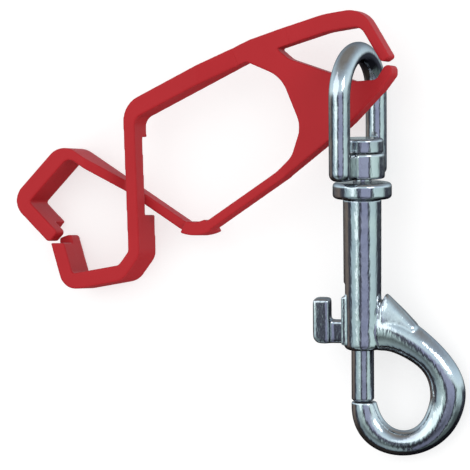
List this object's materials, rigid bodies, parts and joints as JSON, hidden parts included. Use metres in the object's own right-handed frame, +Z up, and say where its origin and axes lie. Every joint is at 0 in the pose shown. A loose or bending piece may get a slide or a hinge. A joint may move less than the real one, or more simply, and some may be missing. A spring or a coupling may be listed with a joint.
{
  "type": "swivel eye bolt snap with clip",
  "caption": "Swivel-eye bolt snap with a sprung thumb bolt that closes its hook, and a scissor-action moulded clip hung on the eye by a forked eyelet.",
  "frame": {"origin": "on the table under the middle of the bounding box, with the object lying as it rests", "axes": "+Z up from the table; +Y along the snap from its hook towards its eye; +X from the clip's jaws towards the snap"},
  "size_m": [0.1052, 0.0978, 0.0255],
  "materials": {
    "plated_casting": "polished nickel or chrome plate over a zinc casting, softly worn",
    "plated_steel": "polished plate over steel",
    "spring_steel": "bright drawn wire",
    "red_plastic": "satin moulded red plastic"
  },
  "bodies": {
    "snap": {"snap_body": "plated_casting", "collar": "plated_casting", "swivel_stud": "plated_steel", "plunger_spring": "spring_steel"},
    "bolt": {"plunger": "plated_steel", "thumb_lever": "plated_steel"},
    "eye": {"swivel_eye": "plated_casting"},
    "clip": {"clip_frame": "red_plastic"},
    "finger": {"eyelet_finger": "red_plastic"},
    "upper": {"upper_arm": "red_plastic"},
    "lower": {"lower_arm": "red_plastic"}
  },
  "joints": [
    {"name": "plunger_slide", "type": "slide", "parent": "snap", "child": "bolt", "axis": [0.0295, 0.9945, 0.1004], "range_m": [0, 0.008], "stiffness_N_per_m": 600, "springref_m": -0.004, "deforming": ["plunger_spring"]},
    {"name": "eye_swivel", "type": "hinge", "parent": "snap", "child": "eye", "pos_m": [0.03169, 0.01325, 0.012], "axis": [0.0295, 0.9945, 0.1004], "continuous": true},
    {"name": "clip_swing", "type": "hinge", "parent": "eye", "child": "clip", "pos_m": [0.03187, 0.03923, 0.01122], "axis": [-0.0809, 0, 0.9967], "range_deg": [-60, 5]},
    {"name": "eyelet_finger_flex", "type": "hinge", "parent": "clip", "child": "finger", "pos_m": [0.01443, 0.04373, 0.0098], "axis": [-0.0809, 0, 0.9967], "range_deg": [0, 10], "stiffness_Nm_per_rad": 2},
    {"name": "upper_arm_flex", "type": "hinge", "parent": "clip", "child": "upper", "pos_m": [0.00167, 0.03926, 0.00877], "axis": [-0.0809, 0, 0.9967], "range_deg": [0, 5], "stiffness_Nm_per_rad": 4},
    {"name": "lower_arm_flex", "type": "hinge", "parent": "clip", "child": "lower", "pos_m": [0.01174, 0.01243, 0.00958], "axis": [-0.0809, 0, 0.9967], "range_deg": [-5, 0], "stiffness_Nm_per_rad": 4}
  ],
  "couplings": [
    {"joint": "lower_arm_flex", "follows": "upper_arm_flex", "ratio": -1}
  ]
}
